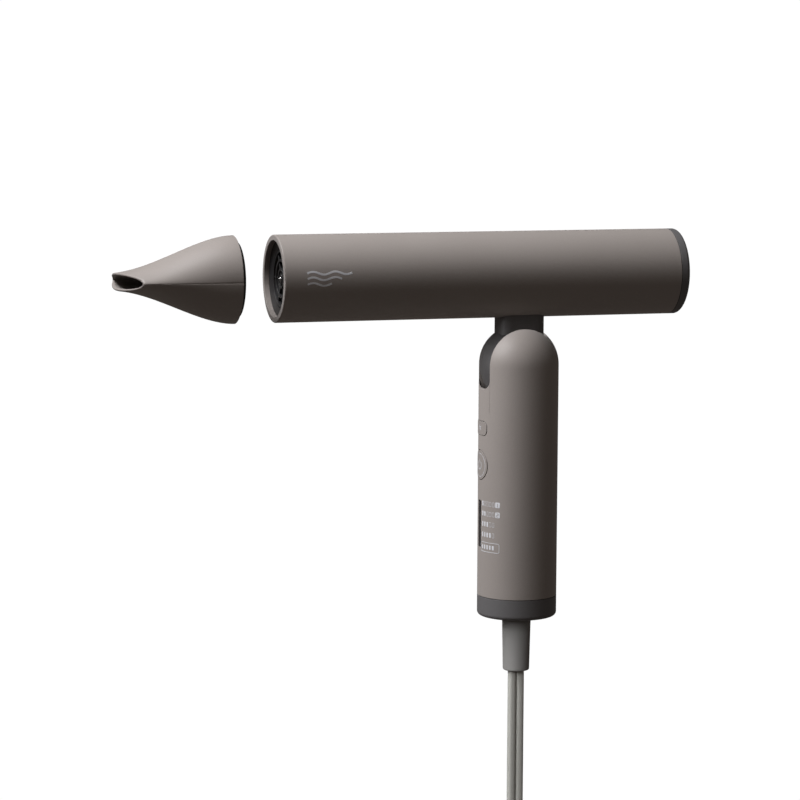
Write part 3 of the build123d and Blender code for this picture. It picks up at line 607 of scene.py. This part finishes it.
def label_bars(height, filled, bar_height):
    """Five level bars; those above the level are drawn as outlines."""
    skins = []
    for i in range(5):
        u = label_start + (i + 0.5) * bar_pitch
        if i < filled:
            skins.append(filled_box(on_handle, u, height, bar_width, bar_height, 0.3 * MM))
        else:
            line = rounded_box_line(u, height, bar_width, bar_height - 0.2 * MM, 0.3 * MM)
            skins.append(stroke(on_handle, line, 0.2 * MM, closed=True))
    return skins


def make_labels():
    """Mode scale beside the lamp window: five rows of level bars, two of them numbered."""
    skins = []
    for level, height in enumerate(label_heights):
        bar_height = 2.6 * MM
        if level == 4:
            bar_height = 2.3 * MM
            frame_line = rounded_box_line(9.35 * MM, height, 14.1 * MM, 5.0 * MM, 0.9 * MM)
            skins.append(stroke(on_handle, frame_line, 0.3 * MM, closed=True))
        skins += label_bars(height, level + 1, bar_height)
        if level < 2:
            skins.append(filled_box(on_handle, number_middle, height, 2.9 * MM, 3.0 * MM, 0.6 * MM))
    return make_object("mode_labels", skins, smooth_angle=30)


def make_label_numbers():
    """The numbers on the two filled boxes, standing just above their print."""
    def raised(u, v, out):
        return on_handle(u, v, out + print_height)
    skins = digit_one(raised, number_middle, label_heights[0], 1.8 * MM, 0.35 * MM)
    skins += digit_two(raised, number_middle, label_heights[1], 1.8 * MM, 0.3 * MM)
    return make_object("mode_label_numbers", skins, smooth_angle=30)


def make_airflow_mark():
    """Three waves of moving air on the barrel's side."""
    middle_u = -111.7 * MM
    middle_v = 1.4 * MM
    skins = []
    for row, length in ((1, 24.0), (0, 18.5), (-1, 13.0)):
        points = []
        for i in range(41):
            share = i / 40
            u = middle_u - 12.0 * MM + share * length * MM
            v = middle_v + row * 2.9 * MM + 0.75 * MM * math.sin(4 * math.pi * share * length / 24)
            points.append((u, v))
        skins.append(stroke(on_barrel, points, 1.05 * MM))
    return make_object("airflow_mark", skins, smooth_angle=30)


def make_power_mark():
    """Open ring with a bar, the usual sign for switching on, with a thin ring near the rim."""
    height = (power_low.z + power_high.z) / 2
    reach = 2.3 * MM
    rim_reach = 6.3 * MM
    arc = []
    for i in range(25):
        angle = math.radians(125 + 290 * i / 24)
        arc.append((reach * math.cos(angle), height + reach * math.sin(angle)))
    bar = [(0, height + 0.6 * MM), (0, height + 3.0 * MM)]
    rim = []
    for i in range(48):
        angle = math.radians(360 * i / 48)
        rim.append((rim_reach * math.cos(angle), height + rim_reach * math.sin(angle)))
    skins = [stroke(on_button, arc, 0.4 * MM), stroke(on_button, bar, 0.4 * MM)]
    skins.append(stroke(on_button, rim, 0.25 * MM, closed=True))
    return make_object("power_mark", skins, smooth_angle=30)


def make_cool_mark():
    """Six-armed frost star for the cool air button."""
    height = (cool_low.z + cool_high.z) / 2
    arm = 1.8 * MM
    skins = []
    for i in range(3):
        angle = math.radians(60 * i + 30)
        du, dv = arm * math.cos(angle), arm * math.sin(angle)
        skins.append(stroke(on_button, [(-du, height - dv), (du, height + dv)], 0.3 * MM))
    return make_object("cool_mark", skins, smooth_angle=30)


labels = make_labels()
label_numbers = make_label_numbers()
airflow_mark = make_airflow_mark()
power_mark = make_power_mark()
cool_mark = make_cool_mark()


# ================================================================ materials
def new_tree(name):
    """A new material with its node tree and its shader."""
    material = bpy.data.materials.new(name)
    material.use_nodes = True
    tree = material.node_tree
    return material, tree, tree.nodes["Principled BSDF"]


def add_node(tree, kind, **settings):
    """Adds a node; settings are its own properties, or its inputs where the name has a capital."""
    node = tree.nodes.new(kind)
    for key, value in settings.items():
        if key[0].isupper():
            node.inputs[key.replace("_", " ")].default_value = value
        else:
            setattr(node, key, value)
    return node


def mixed(tree, factor, first, second, blend="MIX"):
    """Mixes two colours by a factor socket; each colour is a tuple or a socket."""
    mix = tree.nodes.new("ShaderNodeMix")
    mix.data_type = "RGBA"
    mix.blend_type = blend
    tree.links.new(factor, mix.inputs["Factor"])
    for socket, colour in ((mix.inputs[6], first), (mix.inputs[7], second)):
        if isinstance(colour, tuple):
            socket.default_value = (*colour, 1)
        else:
            tree.links.new(colour, socket)
    return mix.outputs[2]


def mapped(tree, value, low, high, to_low, to_high):
    """A socket's range low..high stretched to to_low..to_high."""
    stretch = add_node(tree, "ShaderNodeMapRange", From_Min=low, From_Max=high,
                       To_Min=to_low, To_Max=to_high)
    tree.links.new(value, stretch.inputs["Value"])
    return stretch.outputs["Result"]


def multiplied(tree, first, second):
    """The product of two sockets."""
    product = tree.nodes.new("ShaderNodeMath")
    product.operation = "MULTIPLY"
    tree.links.new(first, product.inputs[0])
    tree.links.new(second, product.inputs[1])
    return product.outputs[0]


def noise(tree, place, size, detail=3.0, roughness=0.55):
    """Noise whose features are about size metres across."""
    texture = add_node(tree, "ShaderNodeTexNoise", Scale=0.5 / size, Detail=detail,
                       Roughness=roughness)
    tree.links.new(place, texture.inputs["Vector"])
    return texture.outputs["Fac"]


def ribs(tree, place, size, direction, kind="BANDS"):
    """Even waves about size metres apart."""
    texture = add_node(tree, "ShaderNodeTexWave", wave_type=kind, Scale=0.3142 / size,
                       Distortion=0.4, Detail=1.0)
    if kind == "BANDS":
        texture.bands_direction = direction
    tree.links.new(place, texture.inputs["Vector"])
    return texture.outputs["Fac"]


def cells(tree, place, size):
    """Rounded cells about size metres across."""
    texture = add_node(tree, "ShaderNodeTexVoronoi", Scale=1.0 / size)
    tree.links.new(place, texture.inputs["Vector"])
    return texture.outputs["Distance"]


def shaded(colour, share):
    """A colour made darker or lighter by a share."""
    return tuple(min(1.0, channel * share) for channel in colour)


def surface(name, colour, roughness, metallic=0.0, grain=0.25, relief=0.006, mottle=0.07,
            blotch=14.0, wear=0.35, edge=None, bevel=0.25, pattern=None, pattern_size=1.0,
            direction="X", pattern_relief=0.05, fixed=()):
    """A worn, grained surface.  Sizes are in millimetres: grain is the fine texture, relief its
    depth, blotch the broad variation, bevel the softened edge and wear how much it has paled."""
    material, tree, shader = new_tree(name)
    place = tree.nodes.new("ShaderNodeTexCoord").outputs["Object"]
    broad = noise(tree, place, blotch * MM)
    fine = noise(tree, place, grain * MM, detail=2.0)
    tint = mixed(tree, broad, shaded(colour, 1 - mottle), shaded(colour, 1 + mottle))
    fleck = mapped(tree, fine, 0.35, 0.75, 0.0, 0.35)
    tint = mixed(tree, fleck, tint, shaded(colour, 1.22))
    soft_edge = add_node(tree, "ShaderNodeBevel", Radius=bevel * MM, samples=4)
    geometry = tree.nodes.new("ShaderNodeNewGeometry")
    facing = tree.nodes.new("ShaderNodeVectorMath")
    facing.operation = "DOT_PRODUCT"
    tree.links.new(soft_edge.outputs["Normal"], facing.inputs[0])
    tree.links.new(geometry.outputs["Normal"], facing.inputs[1])
    edges = mapped(tree, facing.outputs["Value"], 0.985, 0.80, 0.0, wear)
    patchy = mapped(tree, noise(tree, place, 1.6 * MM), 0.35, 0.65, 0.25, 1.0)
    worn = multiplied(tree, edges, patchy)
    tint = mixed(tree, worn, tint, edge or shaded(colour, 1.6))
    height = fine
    if pattern:
        if pattern == "cells":
            shape = cells(tree, place, pattern_size * MM)
        else:
            shape = ribs(tree, place, pattern_size * MM, direction, pattern)
        depth = mapped(tree, shape, 0.0, 1.0, 0.0, pattern_relief / relief)
        sum_up = tree.nodes.new("ShaderNodeMath")
        sum_up.operation = "ADD"
        tree.links.new(fine, sum_up.inputs[0])
        tree.links.new(depth, sum_up.inputs[1])
        height = sum_up.outputs[0]
        # painted shade in the pattern's hollows: its low parts are mixed up to a third of the way
        # towards a darker copy of the colour
        tint = mixed(tree, mapped(tree, shape, 0.0, 0.6, 0.35, 0.0), tint, shaded(colour, 0.55))
    tree.links.new(tint, shader.inputs["Base Color"])
    rough = mapped(tree, broad, 0.3, 0.7, roughness - 0.05, min(1.0, roughness + 0.06))
    tree.links.new(rough, shader.inputs["Roughness"])
    bump = add_node(tree, "ShaderNodeBump", Strength=0.9, Distance=relief * MM)
    tree.links.new(height, bump.inputs["Height"])
    tree.links.new(soft_edge.outputs["Normal"], bump.inputs["Normal"])
    tree.links.new(bump.outputs["Normal"], shader.inputs["Normal"])
    shader.inputs["Metallic"].default_value = metallic
    for key, value in dict(fixed).items():
        shader.inputs[key].default_value = value
    return material


TAUPE = (0.235, 0.212, 0.198)
CHARCOAL = (0.096, 0.094, 0.096)
SOFT_TOUCH = {"Specular IOR Level": 0.32, "Sheen Weight": 0.12, "Sheen Roughness": 0.5}

finishes = {
    "taupe_shell": dict(colour=TAUPE, roughness=0.50, grain=0.22, relief=0.004, mottle=0.03,
                        wear=0.30, bevel=0.35, fixed=SOFT_TOUCH),
    "nozzle_taupe": dict(colour=shaded(TAUPE, 0.98), roughness=0.48, grain=0.25, relief=0.004,
                         mottle=0.03, wear=0.35, bevel=0.5, fixed=SOFT_TOUCH),
    "button_taupe": dict(colour=shaded(TAUPE, 0.93), roughness=0.46, grain=0.2, relief=0.003,
                         mottle=0.03, wear=0.5, bevel=0.3, fixed=SOFT_TOUCH),
    "charcoal": dict(colour=CHARCOAL, roughness=0.52, grain=0.18, relief=0.006, mottle=0.05,
                     wear=0.35, bevel=0.35, fixed={"Specular IOR Level": 0.4}),
    "outlet_black": dict(colour=(0.018, 0.018, 0.019), roughness=0.38, grain=0.2, relief=0.006,
                         mottle=0.12, wear=0.3, edge=(0.09, 0.09, 0.095), bevel=0.2),
    "relief_rubber": dict(colour=(0.162, 0.160, 0.155), roughness=0.62, grain=0.12, relief=0.006,
                          mottle=0.05, wear=0.3, bevel=0.5, fixed={"Specular IOR Level": 0.35}),
    "cord_grey": dict(colour=(0.30, 0.30, 0.278), roughness=0.55, grain=0.3, relief=0.008,
                      mottle=0.06, blotch=30.0, wear=0.0, fixed={"Specular IOR Level": 0.4}),
    "tie_black": dict(colour=(0.03, 0.03, 0.032), roughness=0.85, grain=0.25, relief=0.05,
                      mottle=0.15, wear=0.4, pattern="BANDS", pattern_size=0.8, direction="Z",
                      fixed={"Sheen Weight": 0.3, "Sheen Roughness": 0.4}),
    "plug_grey": dict(colour=(0.20, 0.20, 0.19), roughness=0.58, grain=0.3, relief=0.02,
                      mottle=0.05, wear=0.3, bevel=0.5),
    "blade_brass": dict(colour=(0.72, 0.66, 0.50), roughness=0.28, metallic=1.0, grain=0.15,
                        relief=0.004, mottle=0.08, blotch=4.0, wear=0.4, bevel=0.2,
                        pattern="BANDS", pattern_size=0.35, direction="Z", pattern_relief=0.004),
    "bright_steel": dict(colour=(0.62, 0.62, 0.61), roughness=0.25, metallic=1.0, grain=0.1,
                         relief=0.003, mottle=0.06, blotch=3.0, wear=0.3, bevel=0.15),
    "screw_steel": dict(colour=(0.38, 0.38, 0.39), roughness=0.38, metallic=1.0, grain=0.1,
                        relief=0.004, mottle=0.1, blotch=2.0, wear=0.5, bevel=0.15),
    "washer_black": dict(colour=(0.025, 0.025, 0.027), roughness=0.6, grain=0.15, relief=0.01,
                         mottle=0.12, wear=0.2),
    "magnet": dict(colour=(0.45, 0.45, 0.46), roughness=0.3, metallic=1.0, grain=0.1,
                   relief=0.004, mottle=0.1, blotch=3.0, wear=0.4),
    "mica": dict(colour=(0.42, 0.31, 0.17), roughness=0.35, grain=0.8, relief=0.02, mottle=0.2,
                 blotch=3.0, wear=0.3, pattern="cells", pattern_size=2.0, pattern_relief=0.01),
    "heating_wire": dict(colour=(0.30, 0.24, 0.22), roughness=0.4, metallic=1.0, grain=0.1,
                         relief=0.005, mottle=0.3, blotch=5.0, wear=0.1),
    "inner_black": dict(colour=(0.03, 0.03, 0.032), roughness=0.6, grain=0.25, relief=0.012,
                        mottle=0.1, wear=0.25),
    "stamped_steel": dict(colour=(0.40, 0.41, 0.43), roughness=0.36, metallic=1.0, grain=0.3,
                          relief=0.006, mottle=0.1, blotch=4.0, wear=0.4, pattern="BANDS",
                          pattern_size=0.5, direction="X", pattern_relief=0.01),
    "copper_wire": dict(colour=(0.60, 0.26, 0.12), roughness=0.32, metallic=1.0, grain=0.1,
                        relief=0.01, mottle=0.15, blotch=2.0, wear=0.2, pattern="BANDS",
                        pattern_size=0.45, direction="X", pattern_relief=0.06),
    "board_green": dict(colour=(0.02, 0.10, 0.045), roughness=0.35, grain=0.2, relief=0.01,
                        mottle=0.2, blotch=2.0, wear=0.5, edge=(0.25, 0.22, 0.10),
                        pattern="BANDS", pattern_size=1.2, direction="Z", pattern_relief=0.02),
    "component_black": dict(colour=(0.03, 0.03, 0.034), roughness=0.45, grain=0.15, relief=0.01,
                            mottle=0.2, blotch=2.0, wear=0.4),
    "lamp_clear": dict(colour=(0.65, 0.68, 0.66), roughness=0.25, grain=0.3, relief=0.004,
                       mottle=0.05, blotch=2.0, wear=0.2),
    "window_smoke": dict(colour=(0.012, 0.012, 0.014), roughness=0.16, grain=0.4, relief=0.001,
                         mottle=0.1, wear=0.2, edge=(0.06, 0.06, 0.065),
                         fixed={"Coat Weight": 0.3, "Coat Roughness": 0.08}),
    "filter_mesh": dict(colour=(0.10, 0.10, 0.105), roughness=0.45, metallic=0.8, grain=0.1,
                        relief=0.01, mottle=0.1, wear=0.2, pattern="cells", pattern_size=0.7,
                        pattern_relief=0.25),
    "lead_brown": dict(colour=(0.14, 0.06, 0.035), roughness=0.45, grain=0.3, relief=0.006,
                       mottle=0.08, wear=0.1),
    "label_print": dict(colour=(0.52, 0.53, 0.56), roughness=0.55, grain=0.12, relief=0.002,
                        mottle=0.06, blotch=2.0, wear=0.1),
}
materials = {slot: surface(slot, **finish) for slot, finish in finishes.items()}
node_slots = {part["node"]: part["material_slot"] for part in frame["record"]["subparts"]}
for node_name, node_object in frame["nodes"].items():
    for material_slot in node_object.material_slots:
        material_slot.material = materials[node_slots[node_name]]


dressed = []


def dress(made, body, slot, material=None):
    """Gives a piece its material, by default the one named by its slot, and the body that it moves
    with.
    """
    made.data.materials.append(materials[material or slot])
    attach(made, body)
    dressed.append((made, body))


dress(cord, "handle", "cord_grey")
dress(tie, "handle", "tie_black")
dress(plug, "handle", "plug_grey")
dress(nozzle, "nozzle", "nozzle_taupe")
dress(labels, "handle", "taupe_shell", "label_print")
dress(label_numbers, "handle", "taupe_shell")
dress(airflow_mark, "barrel", "taupe_shell", "label_print")
dress(power_mark, "power_button", "button_taupe", "label_print")
dress(cool_mark, "cool_button", "button_taupe", "label_print")

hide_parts("cord", "cord_hank")
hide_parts("cord_tie")
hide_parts("plug_body")
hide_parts("nozzle_shell")


# ================================================================ studio
def glowing(name, colour, strength):
    """Pale studio surface that looks evenly white."""
    material, tree, shader = new_tree(name)
    place = tree.nodes.new("ShaderNodeTexCoord").outputs["Object"]
    tint = mixed(tree, noise(tree, place, 0.6), shaded(colour, 0.998), colour)
    tree.links.new(tint, shader.inputs["Emission Color"])
    shader.inputs["Base Color"].default_value = (0, 0, 0, 1)
    shader.inputs["Specular IOR Level"].default_value = 0
    shader.inputs["Emission Strength"].default_value = strength
    return material


studio_radius = 6.0
studio_sides = 96
dome_bands = 24
band_angle = 3.9
floor_height = cad_low.z - 1 * MM


def disc_ring(radius, height, count=studio_sides):
    """Level circle of points about the Z axis."""
    return [
        Vector((
            radius * math.cos(2 * math.pi * i / count),
            radius * math.sin(2 * math.pi * i / count),
            height,
        ))
        for i in range(count)
    ]


def make_studio():
    """White floor and backdrop that only the camera sees."""
    floor_rings = [disc_ring(radius, floor_height) for radius in (0.3, 1.5, studio_radius)]
    points, faces = skin(floor_rings, cap_ends=False)
    faces.append(tuple(range(studio_sides)))
    floor = make_object("studio_floor", [(points, faces)])
    dome_rings = []
    for i in range(dome_bands):
        rise = math.radians(band_angle * i)
        dome_rings.append(disc_ring(
            studio_radius * math.cos(rise), floor_height + studio_radius * math.sin(rise)
        ))
    points, faces = skin(dome_rings, cap_ends=False)
    faces.append(tuple((dome_bands - 1) * studio_sides + i for i in range(studio_sides)))
    dome = make_object("studio_backdrop", [(points, faces)])
    white = glowing("studio_white", (1, 1, 1), 1.02)
    for made in (floor, dome):
        made.data.materials.append(white)
        made.visible_diffuse = False
        made.visible_glossy = False
        made.visible_transmission = False
        made.visible_shadow = False


key_colour = (0.985, 0.985, 1.0)


def light_group(name, bodies):
    """Everything that rides on the given bodies, CAD nodes and pieces alike."""
    group = bpy.data.collections.new(name)
    for node_name, node_object in frame["nodes"].items():
        if node_object["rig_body"] in bodies:
            group.objects.link(node_object)
    for made, body in dressed:
        if body in bodies:
            group.objects.link(made)
    return group


def softbox(name, place, target, width, height, power, lit, shaded_by=None):
    """Rectangular area light that faces its target and lights one group of objects."""
    light = bpy.data.lights.new(name, "AREA")
    light.shape = "RECTANGLE"
    light.size = width
    light.size_y = height
    light.energy = power
    light.color = key_colour
    holder = bpy.data.objects.new(name, light)
    holder.location = place
    holder.rotation_euler = (Vector(target) - Vector(place)).to_track_quat("-Z", "Y").to_euler()
    holder.visible_camera = False
    holder.light_linking.receiver_collection = lit
    if shaded_by:
        holder.light_linking.blocker_collection = shaded_by
    scene.collection.objects.link(holder)


make_studio()
handle_bodies = ("handle", "power_button", "cool_button")
barrel_bodies = ("barrel", "fan", "rear_cover", "nozzle_ring", "nozzle")
handle_group = light_group("lit_handle", handle_bodies)
barrel_group = light_group("lit_barrel", barrel_bodies)
neck_group = bpy.data.collections.new("lit_neck")
neck_group.objects.link(frame["nodes"]["hinge_neck"])
cord_group = bpy.data.collections.new("lit_cord")
for made in (cord, frame["nodes"]["strain_relief"]):
    cord_group.objects.link(made)
barrel_middle = (-0.03, 0, barrel_height)
grip_middle = (0, 0, 0)
neck_middle = (0, 0, 0.07)
cord_middle = (0, 0, -0.12)
softbox("barrel_softbox", (-0.70, -0.02, 1.13), barrel_middle, width=0.6, height=0.5, power=27,
        lit=barrel_group, shaded_by=barrel_group)
softbox("handle_softbox", (-0.88, -0.08, 0.88), grip_middle, width=0.9, height=0.9, power=28.5,
        lit=handle_group, shaded_by=handle_group)
softbox("neck_softbox", (-1.30, -0.10, 0.25), neck_middle, width=0.2, height=0.12, power=11,
        lit=neck_group)
softbox("cord_softbox", (-0.80, -0.68, 0.38), cord_middle, width=0.5, height=0.4, power=8,
        lit=cord_group)
world = bpy.data.worlds.new("studio_air")
scene.world = world
world.use_nodes = True
world.node_tree.nodes["Background"].inputs["Color"].default_value = (1.0, 0.87, 0.79, 1)
world.node_tree.nodes["Background"].inputs["Strength"].default_value = 0.115
scene.view_settings.view_transform = "Standard"
scene.view_settings.look = "None"
